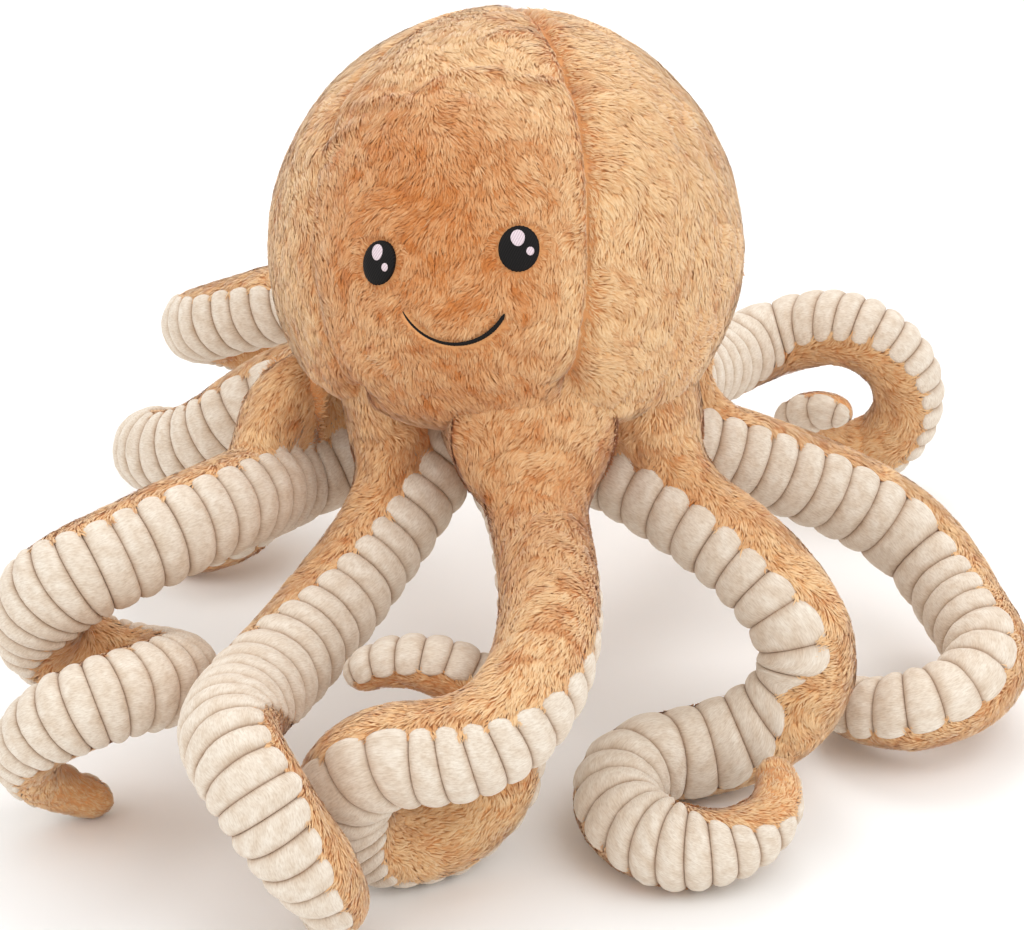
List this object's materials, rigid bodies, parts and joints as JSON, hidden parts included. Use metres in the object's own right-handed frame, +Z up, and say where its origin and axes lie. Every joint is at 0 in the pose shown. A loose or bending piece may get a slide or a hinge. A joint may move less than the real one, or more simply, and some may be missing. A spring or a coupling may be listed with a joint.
{
  "type": "plush octopus",
  "caption": "Stuffed plush octopus with a round furry head, embroidered face and eight curled tentacles, each furry inside its curl and ribbed outside.",
  "frame": {"origin": "on the surface that the toy stands on, under the middle of its whole box", "axes": "+Z up through the head, the face looks along -Y, +X is to the right of the picture when the face is seen from the front"},
  "size_m": [0.4514, 0.5102, 0.2949],
  "materials": {
    "fur": "long-pile plush, soft and slightly glossy at the tips",
    "ribbed_plush": "short-pile wide-wale plush with ribs across",
    "stuffing": "loose polyester fibre fill",
    "black_thread": "satin-stitch embroidery thread",
    "white_thread": "satin-stitch embroidery thread"
  },
  "bodies": {
    "head": {"head_panel_face": "fur", "head_panel_right": "fur", "head_panel_back_right": "fur", "head_panel_back_left": "fur", "head_panel_left": "fur", "belly_panel": "fur", "head_stuffing": "stuffing", "eye_left": "black_thread", "eye_left_large_glint": "white_thread", "eye_left_small_glint": "white_thread", "eye_right": "black_thread", "eye_right_large_glint": "white_thread", "eye_right_small_glint": "white_thread", "mouth": "black_thread"},
    "tentacle_front_right": {"front_right_stuffing": "stuffing", "front_right_fur_strip": "fur", "front_right_ribbed_strip": "ribbed_plush"},
    "tentacle_right_front": {"right_front_stuffing": "stuffing", "right_front_fur_strip": "fur", "right_front_ribbed_strip": "ribbed_plush"},
    "tentacle_right_back": {"right_back_stuffing": "stuffing", "right_back_fur_strip": "fur", "right_back_ribbed_strip": "ribbed_plush"},
    "tentacle_back_right": {"back_right_stuffing": "stuffing", "back_right_fur_strip": "fur", "back_right_ribbed_strip": "ribbed_plush"},
    "tentacle_back_left": {"back_left_stuffing": "stuffing", "back_left_fur_strip": "fur", "back_left_ribbed_strip": "ribbed_plush"},
    "tentacle_left_back": {"left_back_stuffing": "stuffing", "left_back_fur_strip": "fur", "left_back_ribbed_strip": "ribbed_plush"},
    "tentacle_left_front": {"left_front_stuffing": "stuffing", "left_front_fur_strip": "fur", "left_front_ribbed_strip": "ribbed_plush"},
    "tentacle_front_left": {"front_left_stuffing": "stuffing", "front_left_fur_strip": "fur", "front_left_ribbed_strip": "ribbed_plush"}
  },
  "joints": [
    {"name": "front_right_lift", "type": "hinge", "parent": "head", "child": "tentacle_front_right", "pos_m": [0.01901, -0.04547, 0.114], "axis": [-0.9239, -0.3827, 0], "range_deg": [-6, 20]},
    {"name": "right_front_lift", "type": "hinge", "parent": "head", "child": "tentacle_right_front", "pos_m": [0.04877, -0.01571, 0.114], "axis": [-0.3827, -0.9239, 0], "range_deg": [-6, 20]},
    {"name": "right_back_lift", "type": "hinge", "parent": "head", "child": "tentacle_right_back", "pos_m": [0.04877, 0.02639, 0.114], "axis": [0.3827, -0.9239, 0], "range_deg": [-6, 20]},
    {"name": "back_right_lift", "type": "hinge", "parent": "head", "child": "tentacle_back_right", "pos_m": [0.01901, 0.05615, 0.114], "axis": [0.9239, -0.3827, 0], "range_deg": [-6, 20]},
    {"name": "back_left_lift", "type": "hinge", "parent": "head", "child": "tentacle_back_left", "pos_m": [-0.02309, 0.05615, 0.114], "axis": [0.9239, 0.3827, 0], "range_deg": [-6, 20]},
    {"name": "left_back_lift", "type": "hinge", "parent": "head", "child": "tentacle_left_back", "pos_m": [-0.05285, 0.02639, 0.114], "axis": [0.3827, 0.9239, 0], "range_deg": [-6, 20]},
    {"name": "left_front_lift", "type": "hinge", "parent": "head", "child": "tentacle_left_front", "pos_m": [-0.05285, -0.01571, 0.114], "axis": [-0.3827, 0.9239, 0], "range_deg": [-6, 20]},
    {"name": "front_left_lift", "type": "hinge", "parent": "head", "child": "tentacle_front_left", "pos_m": [-0.02309, -0.04547, 0.114], "axis": [-0.9239, 0.3827, 0], "range_deg": [-6, 20]}
  ]
}
